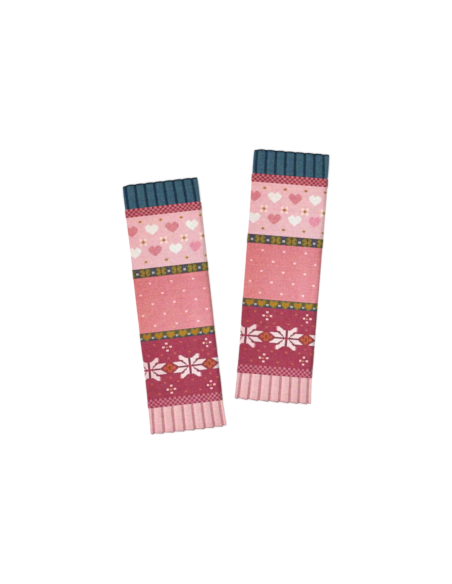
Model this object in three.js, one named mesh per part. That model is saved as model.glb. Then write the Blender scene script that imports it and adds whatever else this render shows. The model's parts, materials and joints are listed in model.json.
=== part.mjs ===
// A pair of knitted leg warmers lying flat, side by side, each a little turned.
// Every leg warmer is an open tube of three knitted pieces: a ribbed top cuff, a patterned leg
// and a ribbed bottom cuff. Front and back lie on each other with a thin slot between them,
// open at both mouths. Millimetres, +Z up, +Y towards the top cuffs. The part rests on Z = 0,
// and its origin is under the middle of the pair's box.

import * as THREE from "three";

// Driving dimensions of one leg warmer
const LENGTH = 400;
const TOP_CUFF_DEPTH = 37.3;
const BOTTOM_CUFF_DEPTH = 42.2;
const SEAM_GAP = 0.3;

// Thickness of both layers together, as laid, and of the slot between them
const LEG_THICKNESS = 5;
const CUFF_THICKNESS = 6.4;
const LIP_THICKNESS = 5.2;
const SLOT = 0.6;
const MOUTH_SLOT = 1.2;

// Wide rib of the cuffs
const RIBS = 16;
const GROOVE_DEPTH = 1.3;
const GROOVE_HALF_WIDTH = 1.9;
const LIP_ROUNDING = 1.6;

// Points across one rib, from one groove to the next: where each stands, whether it is in the
// groove, and how far the mouth's edge bulges and leans there
const RIB_PROFILE = [
  { from: 0, shift: 0, groove: 1, crown: 0, lean: 0 },
  { from: 0, shift: GROOVE_HALF_WIDTH, groove: 0, crown: 0.6, lean: -1 },
  { from: 1 / 3, shift: 0, groove: 0, crown: 1, lean: -0.4 },
  { from: 2 / 3, shift: 0, groove: 0, crown: 1, lean: 0.4 },
  { from: 1, shift: -GROOVE_HALF_WIDTH, groove: 0, crown: 0.6, lean: 1 },
];
const FOLD_POINT = { groove: 0, crown: 0.9, lean: 0 };
const FOLD_POINT_CLEARANCE = 1.07;
const TOP_SCALLOP = { bulge: 0.9, lean: 0 };
const BOTTOM_SCALLOP = { bulge: 0.8, lean: 0.9 };

// How the two lie: middle of each on the surface, and its turn, positive to the left at the top
const PLACES = [
  { side: "left", across: -82.4, along: -22.7, turn: 6.49 },
  { side: "right", across: 90.1, along: 24.0, turn: -4.49 },
];

// Grooves between ribs as they lie on the front, across from the centreline
const TOP_GROOVES = [-55.5, -40.5, -24.8, -9.2, 6.1, 21.9, 37.0, 52.5];
const BOTTOM_GROOVES = [-53.9, -37.9, -21.4, -5.2, 10.9, 26.9, 41.2, 55.2];

// Sections of a cuff: depth from its mouth, flat width, thickness, slot, and groove depth
const TOP_CUFF = [
  { depth: 0, width: 121.2, thick: LIP_THICKNESS, slot: MOUTH_SLOT, groove: 0.8 },
  { depth: LIP_ROUNDING, width: 122.0, thick: CUFF_THICKNESS, slot: MOUTH_SLOT, groove: GROOVE_DEPTH },
  { depth: 18, width: 122.9, thick: CUFF_THICKNESS, slot: SLOT, groove: GROOVE_DEPTH },
  { depth: 33, width: 122.3, thick: CUFF_THICKNESS, slot: SLOT, groove: GROOVE_DEPTH },
  { depth: TOP_CUFF_DEPTH - SEAM_GAP / 2, width: 121.8, thick: LIP_THICKNESS, slot: SLOT, groove: 0.7 },
];
const BOTTOM_CUFF = [
  { depth: 0, width: 122.6, thick: LIP_THICKNESS, slot: MOUTH_SLOT, groove: 0.8 },
  { depth: LIP_ROUNDING, width: 123.2, thick: CUFF_THICKNESS, slot: MOUTH_SLOT, groove: GROOVE_DEPTH },
  { depth: 18, width: 121.6, thick: CUFF_THICKNESS, slot: SLOT, groove: GROOVE_DEPTH },
  { depth: 37, width: 120.6, thick: CUFF_THICKNESS, slot: SLOT, groove: GROOVE_DEPTH },
  { depth: BOTTOM_CUFF_DEPTH - SEAM_GAP / 2, width: 120.2, thick: LIP_THICKNESS, slot: SLOT, groove: 0.7 },
];

// Sections of the leg, down from the top mouth: the narrow bands stand out past the plain ones
const LEG = [
  { down: TOP_CUFF_DEPTH + SEAM_GAP / 2, width: 122.6 },
  { down: 40.5, width: 124.2 },
  { down: 50.0, width: 124.0 },
  { down: 54.5, width: 122.6 },
  { down: 90.0, width: 121.8 },
  { down: 131.0, width: 121.4 },
  { down: 137.5, width: 123.2 },
  { down: 147.0, width: 123.4 },
  { down: 152.0, width: 121.6 },
  { down: 195.0, width: 121.2 },
  { down: 236.0, width: 121.9 },
  { down: 250.0, width: 122.3 },
  { down: 300.0, width: 120.9 },
  { down: 342.0, width: 121.8 },
  { down: 355.0, width: 122.2 },
  { down: LENGTH - BOTTOM_CUFF_DEPTH - SEAM_GAP / 2, width: 120.8 },
];

// Cells round the leg's outline: on each flat side, and round each folded edge
const FLAT_CELLS = 9;
const FOLD_CELLS = 6;

const FINISHES = {
  top_cuff: { color: 0x3f5f71, roughness: 0.9, metalness: 0 },
  leg: { color: 0xd07884, roughness: 0.9, metalness: 0 },
  bottom_cuff: { color: 0xeabdc0, roughness: 0.9, metalness: 0 },
};

// A flattened tube's section is four stretches: the front, the fold on the right, the back and
// the fold on the left. Half its flat width is the reach, and half its thickness the radius.
const STRETCHES = 4;

function sectionSize(width, thick) {
  const radius = thick / 2;
  return { reach: width / 2 - radius, radius };
}

// Lengths of the four stretches on the outer face, in order round the tube
function stretchLengths({ reach, radius }) {
  return [2 * reach, Math.PI * radius, 2 * reach, Math.PI * radius];
}

// A station is a stretch and how far along it, from 0 to 1. It gives the point of the tube's
// middle line that it stands on, and the outward direction there.
function stationFrame({ stretch, part }, reach) {
  const onFlat = stretch % 2 === 0;
  const sign = stretch < 2 ? 1 : -1;
  if (onFlat) {
    return { x: sign * reach * (2 * part - 1), outX: 0, outZ: sign };
  }
  const angle = sign * Math.PI / 2 - Math.PI * part;
  return { x: sign * reach, outX: Math.cos(angle), outZ: Math.sin(angle) };
}

// The station at a distance round the outer face, measured from the front's left end
function stationAt(distance, size) {
  const lengths = stretchLengths(size);
  const round = lengths.reduce((sum, length) => sum + length, 0);
  let left = ((distance % round) + round) % round;
  for (let stretch = 0; stretch < STRETCHES; stretch += 1) {
    if (left < lengths[stretch]) {
      return { stretch, part: left / lengths[stretch] };
    }
    left -= lengths[stretch];
  }
  return { stretch: 0, part: 0 };
}

// Even stations for the plain leg
function plainStations() {
  const stations = [];
  for (let stretch = 0; stretch < STRETCHES; stretch += 1) {
    const cells = stretch % 2 === 0 ? FLAT_CELLS : FOLD_CELLS;
    for (let cell = 0; cell < cells; cell += 1) {
      stations.push({ stretch, part: cell / cells, groove: 0, crown: 0, lean: 0 });
    }
  }
  return stations;
}

// Stations for a ribbed cuff: each rib has the points of its profile, and the folded edges get
// points of their own where the ribs leave them bare.
function ribStations(frontGrooves, size) {
  const lengths = stretchLengths(size);
  const round = lengths.reduce((sum, length) => sum + length, 0);
  const grooves = frontGrooves.map((across) => across + size.reach);
  const last = grooves[grooves.length - 1];
  const hidden = RIBS - grooves.length;
  const hiddenPitch = (grooves[0] + round - last) / (hidden + 1);
  for (let rib = 1; rib <= hidden; rib += 1) {
    grooves.push(last + rib * hiddenPitch);
  }
  const marks = [];
  grooves.forEach((start, rib) => {
    const end = rib + 1 < RIBS ? grooves[rib + 1] : grooves[0] + round;
    RIB_PROFILE.forEach(({ from, shift, ...shape }) => {
      marks.push({ at: start + from * (end - start) + shift, ...shape });
    });
  });
  const nearest = (at) => Math.min(...marks.map((mark) => {
    const apart = Math.abs(mark.at - at) % round;
    return Math.min(apart, round - apart);
  }));
  const foldStarts = [lengths[0], lengths[0] + lengths[1] + lengths[2]];
  foldStarts.forEach((start) => {
    for (let cell = 1; cell < FOLD_CELLS; cell += 1) {
      const at = start + cell * lengths[1] / FOLD_CELLS;
      if (nearest(at) > FOLD_POINT_CLEARANCE) {
        marks.push({ at, ...FOLD_POINT });
      }
    }
  });
  const offset = (mark) => ((mark.at % round) + round) % round;
  marks.sort((one, other) => offset(one) - offset(other));
  return marks.map((mark) => ({ ...mark, ...stationAt(mark.at, size) }));
}

// One closed tube wall from sections that go up in Y. Each station has an outer and an inner
// point, so the wall keeps its thickness round the folds, and its underside stays on Z = 0.
function tubeWall(sections, stations) {
  const count = stations.length;
  const positions = [];
  sections.forEach(({ y, width, thick, slot, groove = 0, edge = 0, scallop = null }) => {
    const { reach, radius } = sectionSize(width, thick);
    const outer = [];
    const inner = [];
    stations.forEach((station) => {
      const { x, outX, outZ } = stationFrame(station, reach);
      const out = radius - groove * station.groove;
      const bulge = scallop ? edge * (scallop.bulge * station.crown + scallop.lean * station.lean) : 0;
      outer.push(x + outX * out, y + bulge, radius + outZ * out);
      inner.push(x + outX * slot / 2, y, radius + outZ * slot / 2);
    });
    positions.push(...outer, ...inner);
  });
  const at = (ring, side, station) => (2 * ring + side) * count + (station % count);
  const OUTER = 0;
  const INNER = 1;
  const index = [];
  for (let ring = 0; ring + 1 < sections.length; ring += 1) {
    for (let j = 0; j < count; j += 1) {
      const next = j + 1;
      const [a, b] = [at(ring, OUTER, j), at(ring, OUTER, next)];
      const [c, d] = [at(ring + 1, OUTER, next), at(ring + 1, OUTER, j)];
      index.push(a, b, c, a, c, d);
      const [e, f] = [at(ring, INNER, j), at(ring, INNER, next)];
      const [g, h] = [at(ring + 1, INNER, next), at(ring + 1, INNER, j)];
      index.push(e, g, f, e, h, g);
    }
  }
  const top = sections.length - 1;
  for (let j = 0; j < count; j += 1) {
    const next = j + 1;
    const [a, b, c, d] = [at(top, OUTER, j), at(top, OUTER, next), at(top, INNER, next), at(top, INNER, j)];
    index.push(a, b, c, a, c, d);
    const [e, f, g, h] = [at(0, OUTER, j), at(0, OUTER, next), at(0, INNER, next), at(0, INNER, j)];
    index.push(e, g, f, e, h, g);
  }
  const geometry = new THREE.BufferGeometry();
  geometry.setAttribute("position", new THREE.Float32BufferAttribute(positions, 3));
  geometry.setIndex(index);
  geometry.computeVertexNormals();
  return geometry;
}

function topCuffGeometry() {
  const sections = TOP_CUFF.map(({ depth, ...rest }) => ({
    ...rest,
    y: LENGTH / 2 - depth,
    edge: depth < LIP_ROUNDING ? 1 : 0,
    scallop: TOP_SCALLOP,
  })).reverse();
  return tubeWall(sections, ribStations(TOP_GROOVES, sectionSize(TOP_CUFF[2].width, CUFF_THICKNESS)));
}

function bottomCuffGeometry() {
  const sections = BOTTOM_CUFF.map(({ depth, ...rest }) => ({
    ...rest,
    y: depth - LENGTH / 2,
    edge: depth < LIP_ROUNDING ? -1 : 0,
    scallop: BOTTOM_SCALLOP,
  }));
  return tubeWall(sections, ribStations(BOTTOM_GROOVES, sectionSize(BOTTOM_CUFF[2].width, CUFF_THICKNESS)));
}

function legGeometry() {
  const sections = LEG.map(({ down, width }) => ({
    y: LENGTH / 2 - down,
    width,
    thick: LEG_THICKNESS,
    slot: SLOT,
  })).reverse();
  return tubeWall(sections, plainStations());
}

function knittedPiece(side, piece, geometry) {
  const mesh = new THREE.Mesh(geometry, new THREE.MeshStandardMaterial(FINISHES[piece]));
  mesh.name = `${side}_${piece}`;
  return mesh;
}

function legWarmer({ side, across, along, turn }) {
  const one = new THREE.Group();
  one.add(knittedPiece(side, "top_cuff", topCuffGeometry()));
  one.add(knittedPiece(side, "leg", legGeometry()));
  one.add(knittedPiece(side, "bottom_cuff", bottomCuffGeometry()));
  one.rotation.z = THREE.MathUtils.degToRad(turn);
  one.position.set(across, along, 0);
  return one;
}

const group = new THREE.Group();
PLACES.forEach((place) => group.add(legWarmer(place)));

// The origin goes under the middle of the pair's box
group.updateMatrixWorld(true);
const middle = new THREE.Box3().setFromObject(group, true).getCenter(new THREE.Vector3());
group.position.set(-middle.x, -middle.y, 0);
group.updateMatrixWorld(true);

export default group;
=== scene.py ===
"""Dresses a pair of knitted leg warmers that lie flat side by side, seen straight from above.

Each leg warmer is three closed knit walls: a ribbed top cuff, a leg knitted in colour-work
bands, and a ribbed bottom cuff. Every stitch is a pair of raised legs in the mesh, and its
yarn comes from small motif charts that are laid on the stitches band by band.
"""

from __future__ import annotations

import json
import logging
import math
from collections.abc import Sequence
from dataclasses import dataclass, field
from enum import Enum

import bpy
import numpy as np
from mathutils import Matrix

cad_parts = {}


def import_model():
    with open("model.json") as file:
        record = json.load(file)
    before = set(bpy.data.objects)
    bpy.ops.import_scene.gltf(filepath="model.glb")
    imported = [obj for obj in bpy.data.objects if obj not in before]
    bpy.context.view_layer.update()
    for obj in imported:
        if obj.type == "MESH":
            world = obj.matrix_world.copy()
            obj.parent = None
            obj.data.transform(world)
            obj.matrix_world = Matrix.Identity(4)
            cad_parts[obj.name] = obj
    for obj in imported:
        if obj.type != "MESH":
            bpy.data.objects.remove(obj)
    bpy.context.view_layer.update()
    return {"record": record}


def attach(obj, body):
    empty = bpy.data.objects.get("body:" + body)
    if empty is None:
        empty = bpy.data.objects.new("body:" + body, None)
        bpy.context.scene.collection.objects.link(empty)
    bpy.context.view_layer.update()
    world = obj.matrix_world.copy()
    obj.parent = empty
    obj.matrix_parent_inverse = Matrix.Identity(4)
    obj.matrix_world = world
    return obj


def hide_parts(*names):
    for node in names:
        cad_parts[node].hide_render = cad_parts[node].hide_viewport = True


LOG = logging.getLogger("leg_warmers")

MM = 0.001
# Exponent that turns linear light to tones as the eye sees them, and back
GAMMA = 2.2


class Yarn(Enum):
    """The dyed yarns and two painted groove shades: the letter that stands for each in a chart, and its
    sRGB colour, as dyed for a yarn.
    """

    TEAL = ("t", "#3e5f71")
    # painted shade: how the teal looks in the shadow deep in a rib's groove
    DEEP_TEAL = ("z", "#0c2b3e")
    BLUSH = ("p", "#efbbc0")
    CORAL = ("c", "#e48a91")
    RASPBERRY = ("r", "#ac3c55")
    BRICK = ("d", "#952f3e")
    SALMON = ("m", "#d1737e")
    WINE = ("i", "#9a3b50")
    ORCHID = ("l", "#d5778c")
    ROSE = ("h", "#da838b")
    CARNATION = ("C", "#ea92a5")
    SLATE = ("s", "#484858")
    OLIVE = ("o", "#746b2b")
    OCHRE = ("u", "#99803f")
    GOLD = ("g", "#b8821c")
    HONEY = ("y", "#dfa27a")
    PEACH = ("j", "#fddbd2")
    BROWN = ("b", "#a06b45")
    BARK = ("k", "#543a17")
    RUST = ("n", "#c96354")
    APRICOT = ("a", "#c46043")
    EMBER = ("e", "#a03f17")
    PLUM = ("v", "#823e50")
    CREAM = ("w", "#f2ebe6")
    PETAL = ("x", "#fbdfe0")
    BLOSSOM = ("B", "#ffd0d4")
    MULBERRY = ("M", "#903b53")
    SAND = ("H", "#eab294")
    MOSS = ("G", "#605539")
    PEARL = ("f", "#bebeb6")
    SHELL = ("q", "#f1c0c2")
    # painted shade: how the shell pink looks in the shadow deep in a groove, tinted rose by painted light
    # bounced off the ribs
    DUSK = ("D", "#bc7c82")

    @property
    def letter(self) -> str:
        """Returns its letter."""
        return self.value[0]

    @property
    def colour(self) -> np.ndarray:
        """Returns its linear colour."""
        return np.array(linear(self.value[1]))


Chart = tuple[str, ...]
# Red, green and blue
Channels = tuple[float, float, float]


def mirrored(quarter: Chart) -> Chart:
    """Returns the whole motif of an upper right quarter, mirrored to the left and downwards."""
    upper = tuple(line[::-1] + line for line in quarter)
    return upper + upper[::-1]


def in_yarn(chart: Chart, yarn: Yarn) -> Chart:
    """Returns a chart whose stitches are marked X, with a yarn's letter for them."""
    return tuple(line.replace("X", yarn.letter) for line in chart)


# A heart with two round lobes, in one yarn
HEART: Chart = (
    "..XX...XX..",
    ".XXXX.XXXX.",
    "XXXXXXXXXXX",
    "XXXXXXXXXXX",
    "XXXXXXXXXXX",
    "XXXXXXXXXXX",
    ".XXXXXXXXX.",
    ".XXXXXXXXX.",
    "..XXXXXXX..",
    "...XXXXX...",
    "....XXX....",
    ".....X.....",
)
DOT: Chart = ("XX", "XX")
# A four-petalled flower with a narrow brown eye
FLOWER = mirrored((
    ".jj",
    ".jj",
    "yjj",
    "bH.",
))
SEED = mirrored(("H.", "bH"))
# A small flower on slate: olive, with ochre veins set crosswise and dark corners
MEADOW_FLOWER: Chart = (
    "kkoo.ookk",
    "kuookoouk",
    "ouuokouuo",
    "oouuouuoo",
    "kougkguok",
    "oouuouuoo",
    "ouuokouuo",
    "kuookoouk",
    "kkoo.ookk",
)
# A gold heart with an ochre rim and an olive edge, as tall as its band, and moss beside it
GOLD_HEART: Chart = (
    "GGoo..ooGG",
    "GouuoouuoG",
    "GouguuguoG",
    "GoggggggoG",
    "GoggggggoG",
    ".ougggguo.",
    "..ougguo..",
    "...ouuo...",
    "....oo....",
)
DOT_FLOWER: Chart = (
    "...BB...",
    "...BB...",
    "........",
    "........",
    "BB.nb.BB",
    "BB.yn.BB",
    "........",
    "........",
    "...BB...",
    "...BB...",
)
# A star of embers with four apricot points
EMBER_STAR = mirrored((
    "e.....",
    "ne....",
    "ane...",
    "anee..",
    "enene.",
    "eaaane",
))
# One quarter of the eight-petalled rose: its foot is the rose's middle row, its left edge the
# middle column, and the other quarters mirror it
ROSE = mirrored((
    ".....Mxxh.....",
    "....Mxxxh.....",
    "...Mxxxxh.....",
    "..Mxxxxxh.....",
    "vxxxxxxxM.....",
    "vxxxxxM.......",
    "vxxxxvvMMMMMM.",
    "vxxxxvvxxxxxxx",
    "vxxxvvxxxxxxxM",
    "vxxvvxxxxxxxM.",
    "vxxvxxxxxxxM..",
    ".x.xxxxxxxM...",
    "...vvvvvvvM...",
))
WHITE_HEART = in_yarn(HEART, Yarn.CREAM)
ROSE_HEART = in_yarn(HEART, Yarn.ROSE)
PINK_HEART = in_yarn(HEART, Yarn.CARNATION)
PINK_DOT = in_yarn(DOT, Yarn.BLOSSOM)
PALE_DOT = in_yarn(DOT, Yarn.PEARL)
RUST_DOT = in_yarn(DOT, Yarn.RUST)

# Stitches and rows in one square of the checked lattice
LATTICE_SQUARE = 2


@dataclass(frozen=True)
class Motif:
    """One chart repeated round a band.

    Attributes:
        chart: The stitches, a letter each, and a dot where the ground shows.
        repeat: Stitches from one copy to the next.
        middle: Stitches from the centreline to the middle of one copy.
        row: Rows from the band's top edge to the middle of the chart.
    """

    chart: Chart
    repeat: int
    middle: float
    row: float


@dataclass(frozen=True)
class Band:
    """A stretch of the leg with one ground yarn.

    Attributes:
        height: Height as laid, in millimetres.
        rows: Rows of stitches.
        ground: The ground yarn.
        motifs: The motifs knitted into it.
        lattice: The yarn of a checked lattice over the ground, or None.
        lattice_shift: Stitches that the lattice lies to the right.
        painted_left_shade: How much darker red, green and blue are painted towards the left fold, as shade.
        painted_sheen: How much paler they are painted before the right fold, as a sheen highlight.
        fold: How strongly the right fold's edge is shaded.
        paler: How much paler they get from the band's top to its bottom.
    """

    height: float
    rows: int
    ground: Yarn
    motifs: tuple[Motif, ...] = ()
    lattice: Yarn | None = None
    lattice_shift: int = 0
    painted_left_shade: Channels = (0.09, 0.19, 0.18)
    painted_sheen: Channels = (0.0, 0.0, 0.0)
    fold: float = 1.0
    paler: Channels = (0.0, 0.0, 0.0)


def placed(chart: Chart, repeat: int, *places: tuple[float, float]) -> tuple[Motif, ...]:
    """Returns a motif for each place of a chart, given by its middle and its row."""
    return tuple(Motif(chart, repeat, middle, row) for middle, row in places)


# Stitches from one motif of a kind to the next
HEARTS_APART = 17
ROSES_APART = 34
FLOWERS_APART = 13
GOLD_HEARTS_APART = 10
DOTS_APART = 18

# The leg's bands, from the top cuff down
BANDS: tuple[Band, ...] = (
    Band(12.8, 8, Yarn.BRICK, lattice=Yarn.SALMON, lattice_shift=1),
    Band(83.7, 58, Yarn.BLUSH, (
        *placed(SEED, HEARTS_APART, (-3, 6), (-2, 51)),
        *placed(FLOWER, HEARTS_APART, (-3, 29)),
        *placed(WHITE_HEART, 2 * HEARTS_APART, (-11.5, 16), (6.5, 40)),
        *placed(ROSE_HEART, 2 * HEARTS_APART, (5.5, 16)),
        *placed(ROSE_HEART, 4 * HEARTS_APART, (-10.5, 40)),
        *placed(PINK_HEART, 4 * HEARTS_APART, (23.5, 40)),
    ), painted_left_shade=(0.03, 0.08, 0.09), painted_sheen=(0.01, 0.06, 0.06), fold=0.7, paler=(-0.02, 0.08, 0.12)),
    Band(14.5, 9, Yarn.SLATE, (
        *placed(MEADOW_FLOWER, FLOWERS_APART, (-7.5, 4.5)),
        *placed(PALE_DOT, FLOWERS_APART, (-1, 5)),
    )),
    Band(88.7, 61, Yarn.CORAL, placed(PINK_DOT, DOTS_APART, (0, 7), (9, 19), (0, 30), (9, 42), (0, 54)),
         painted_left_shade=(0.06, 0.19, 0.24), painted_sheen=(0.06, 0.16, 0.18), fold=0.85, paler=(0.08, 0.25, 0.25)),
    Band(13.2, 9, Yarn.SLATE, (
        *placed(GOLD_HEART, GOLD_HEARTS_APART, (5, 4.5)),
        *placed(PALE_DOT, GOLD_HEARTS_APART, (0, 6)),
    )),
    Band(93.4, 66, Yarn.RASPBERRY, (
        *placed(RUST_DOT, ROSES_APART, (2, 5), (14, 5), (8, 17), (-4, 17), (19, 17), (-10, 22)),
        *placed(RUST_DOT, ROSES_APART, (2, 61), (14, 61), (8, 49), (-4, 49), (19, 49), (-10, 44)),
        *placed(DOT_FLOWER, ROSES_APART, (-10, 9.5), (-10, 56.5)),
        *placed(ROSE, ROSES_APART, (7, 33)),
        *placed(EMBER_STAR, ROSES_APART, (-10, 33)),
    )),
    Band(14.1, 8, Yarn.WINE, lattice=Yarn.ORCHID, lattice_shift=-1),
)


@dataclass(frozen=True)
class Section:
    """The flat tube's outline at one place.

    Attributes:
        down: Distance from the top mouth, in millimetres.
        width: Flat width.
        thick: Thickness of both layers together.
        slot: Height of the slot between the layers.
    """

    down: float
    width: float
    thick: float
    slot: float

    @property
    def girth(self) -> float:
        """Returns the distance round the tube."""
        return 2 * (self.width - self.thick) + math.pi * self.thick


@dataclass(frozen=True)
class Ripple:
    """A soft ridge of the front layer.

    Attributes:
        across: Its middle, from the centreline, in millimetres.
        down: Its middle, from the top mouth.
        turn: Angle of its length from straight across, in degrees.
        length: Reach to each side along it.
        width: Reach to each side over it.
        lift: Height at its middle, or depth of a trough if negative.
    """

    across: float
    down: float
    turn: float
    length: float
    width: float
    lift: float


def linear(colour: str) -> Channels:
    """Returns an sRGB hex colour, such as "#3e5f71", as linear light from 0 to 1."""
    parts = (int(colour[i:i + 2], 16) / 255 for i in (1, 3, 5))
    return tuple(p / 12.92 if p <= 0.04045 else ((p + 0.055) / 1.055) ** 2.4 for p in parts)


def smooth(share: np.ndarray) -> np.ndarray:
    """Returns shares from 0 to 1 with both their ends eased."""
    return share * share * (3 - 2 * share)


def eased(at: np.ndarray, marks: Sequence[tuple[float, float]]) -> np.ndarray:
    """Interpolates with no kinks at the marks.

    Args:
        at: Where values are wanted.
        marks: Rising places, each with its value.

    Returns:
        A value for each place.
    """
    places, values = np.array(marks).T
    step = np.clip(np.searchsorted(places, at, side="right") - 1, 0, len(places) - 2)
    share = smooth(np.clip((at - places[step]) / (places[step + 1] - places[step]), 0, 1))
    return values[step] * (1 - share) + values[step + 1] * share


@dataclass(frozen=True)
class Place:
    """Where a leg warmer lies.

    Attributes:
        middle: The middle of its underside, in the row frame, in metres.
        turn: Its turn about +Z, in degrees.
    """

    middle: tuple[float, float]
    turn: float

    def world(self, across: np.ndarray, along: np.ndarray, up: np.ndarray) -> np.ndarray:
        """Puts points of the tube into the row frame.

        Args:
            across: To the right of the centreline, in millimetres.
            along: Towards the top cuff from the tube's middle, in millimetres.
            up: Above the surface, in millimetres.

        Returns:
            The points in metres, a row each.
        """
        angle = math.radians(self.turn)
        x = across * math.cos(angle) - along * math.sin(angle)
        y = across * math.sin(angle) + along * math.cos(angle)
        points = np.stack([x, y, up], axis=-1).reshape(-1, 3) * MM
        points[:, 0] += self.middle[0]
        points[:, 1] += self.middle[1]
        return points


@dataclass(frozen=True)
class Stitch:
    """Relief of one knitted stitch, in millimetres and in rows.

    Attributes:
        between: How far the wall drops between two columns of stitches.
        middle: How far it drops between the stitch's two legs.
        lean: How far down the legs' meeting point stands, in rows.
    """

    between: float = 0.34
    middle: float = 0.26
    lean: float = 0.5


@dataclass
class Rings:
    """The rings of a closed wall, from the top lip down the outside and back up the inside.

    Attributes:
        down: Distance from the top mouth, in millimetres.
        share: 0 on the outer face, 1 on the inner one.
        lean: How much of the stitches' lean the ring has, from 0 to 1.
        first: The ring where the stitch rows begin.
        last: The ring where they end.
        turn: The ring at the bottom lip's edge, where the outside ends.
    """

    down: np.ndarray
    share: np.ndarray
    lean: np.ndarray
    first: int
    last: int
    turn: int


@dataclass(frozen=True)
class KnitFinish:
    """Soft-spun wool-blend knit: matt, a little fuzzy, each stitch two plump yarn legs.

    Attributes:
        name: The material's name.
        roughness: Of the fibres.
        sheen: How much light the loose fibres catch at the sides.
        sheen_tint: The colour of that light.
        sheen_roughness: How widely they spread it.
        gloss: How much the fibres' surface shines.
        fibre_scale: Fibres to a metre.
        fibre_detail: Finer layers of their noise.
        fibre_range: The part of the noise from the darkest fibre to the palest.
        mottle: How much the fibres differ in tone.
        stitch_height: Height of a yarn leg in the bump, in millimetres.
        twist_height: Height of the yarn's twist in the bump, in millimetres.
        leg_power: Below 1, it makes the legs plumper across.
        row_power: Below 1, it makes them plumper along their length.
        row_depth: How much of their height they lose between two rows.
        strands: Strands of the twist across a stitch and down a row.
    """

    name: str
    roughness: float = 0.88
    sheen: float = 0.25
    sheen_tint: str = "#fff7f6"
    sheen_roughness: float = 0.45
    gloss: float = 0.25
    fibre_scale: float = 1400.0
    fibre_detail: float = 3.0
    fibre_range: tuple[float, float] = (0.3, 0.7)
    mottle: float = 0.1
    stitch_height: float = 0.35
    twist_height: float = 0.06
    leg_power: float = 0.6
    row_power: float = 0.45
    row_depth: float = 0.75
    strands: tuple[float, float] = (6.0, 2.0)

    def material(self) -> bpy.types.Material:
        """Makes the material: yarn colours by stitch, with legs and twist as bump.

        Returns:
            The material.
        """
        made = bpy.data.materials.new(self.name)
        made.use_nodes = True
        tree = made.node_tree
        tree.nodes.clear()
        out = node(tree, "ShaderNodeOutputMaterial")
        shader = node(tree, "ShaderNodeBsdfPrincipled", {
            "Roughness": self.roughness,
            "Specular IOR Level": self.gloss,
            "Sheen Weight": self.sheen,
            "Sheen Roughness": self.sheen_roughness,
            "Sheen Tint": (*linear(self.sheen_tint), 1.0),
        })
        tree.links.new(shader.outputs["BSDF"], out.inputs["Surface"])
        yarn = node(tree, "ShaderNodeAttribute", settings={"attribute_name": "yarn"})
        coordinates = node(tree, "ShaderNodeTexCoord")
        # fibres under a millimetre long, drawn a little coarser than spun wool's
        fibres = node(
            tree, "ShaderNodeTexNoise", {"Scale": self.fibre_scale, "Detail": self.fibre_detail},
            links={"Vector": coordinates.outputs["Object"]})
        tone = node(tree, "ShaderNodeMapRange", {
            "From Min": self.fibre_range[0], "From Max": self.fibre_range[1],
            "To Min": 1 - self.mottle, "To Max": 1 + self.mottle,
        }, links={"Value": fibres.outputs["Fac"]})
        coloured = node(tree, "ShaderNodeMix", {"Factor": 1.0},
                        settings={"data_type": "RGBA", "blend_type": "MULTIPLY"})
        tree.links.new(yarn.outputs["Color"], coloured.inputs["A"])
        tree.links.new(tone.outputs["Result"], coloured.inputs["B"])
        tree.links.new(coloured.outputs["Result"], shader.inputs["Base Color"])
        bump = node(tree, "ShaderNodeBump", {"Strength": 1.0, "Distance": MM},
                    links={"Height": self.relief(tree, fibres.outputs["Fac"])})
        tree.links.new(bump.outputs["Normal"], shader.inputs["Normal"])
        return made

    def relief(self, tree: bpy.types.NodeTree, fibres: bpy.types.NodeSocket) -> bpy.types.NodeSocket:
        """Draws two plump legs a stitch, with the yarn's twist along them.

        Args:
            tree: The material's nodes.
            fibres: A fine noise from 0 to 1.

        Returns:
            The height, in millimetres.
        """
        knit = node(tree, "ShaderNodeUVMap", settings={"uv_map": "Knit"})
        parts = node(tree, "ShaderNodeSeparateXYZ", links={"Vector": knit.outputs["UV"]})
        found = {"stitch": parts.outputs["X"], "row": parts.outputs["Y"], "fibres": fibres}
        # each line is one sum: its name, what it does, and its one or two terms
        for name, operation, *terms in (
            ("two legs", "MULTIPLY", "stitch", 2 * math.pi),
            ("leg wave", "SINE", "two legs"),
            ("leg ridges", "ABSOLUTE", "leg wave"),
            ("plump legs", "POWER", "leg ridges", self.leg_power),
            ("one row", "MULTIPLY", "row", math.pi),
            ("row wave", "SINE", "one row"),
            ("row ridges", "ABSOLUTE", "row wave"),
            ("plump rows", "POWER", "row ridges", self.row_power),
            ("rows", "MULTIPLY_ADD", "plump rows", self.row_depth, 1 - self.row_depth),
            ("stitches", "MULTIPLY", "plump legs", "rows"),
            ("relief", "MULTIPLY", "stitches", self.stitch_height),
            ("across strands", "MULTIPLY", "stitch", 2 * math.pi * self.strands[0]),
            ("strands", "MULTIPLY_ADD", "row", 2 * math.pi * self.strands[1], "across strands"),
            ("strand wave", "SINE", "strands"),
            ("twisted", "MULTIPLY_ADD", "strand wave", self.twist_height, "relief"),
            ("height", "MULTIPLY_ADD", "fibres", self.twist_height, "twisted"),
        ):
            values = {place: term for place, term in enumerate(terms) if isinstance(term, float)}
            linked = {place: found[term] for place, term in enumerate(terms) if isinstance(term, str)}
            found[name] = node(tree, "ShaderNodeMath", values, {"operation": operation}, linked).outputs[0]
        return found["height"]


def node(
    tree: bpy.types.NodeTree,
    kind: str,
    inputs: dict[str | int, object] | None = None,
    settings: dict[str, object] | None = None,
    links: dict[str | int, bpy.types.NodeSocket] | None = None,
) -> bpy.types.Node:
    """Adds a node with its values, settings and links.

    Args:
        tree: The nodes that it joins.
        kind: Blender's name for the node's type.
        inputs: Values by input name or number.
        settings: Properties of the node itself.
        links: Sockets to link, by input name or number.

    Returns:
        The new node.
    """
    made = tree.nodes.new(kind)
    for name, value in (settings or {}).items():
        setattr(made, name, value)
    for name, value in (inputs or {}).items():
        made.inputs[name].default_value = value
    for name, socket in (links or {}).items():
        tree.links.new(socket, made.inputs[name])
    return made


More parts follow.
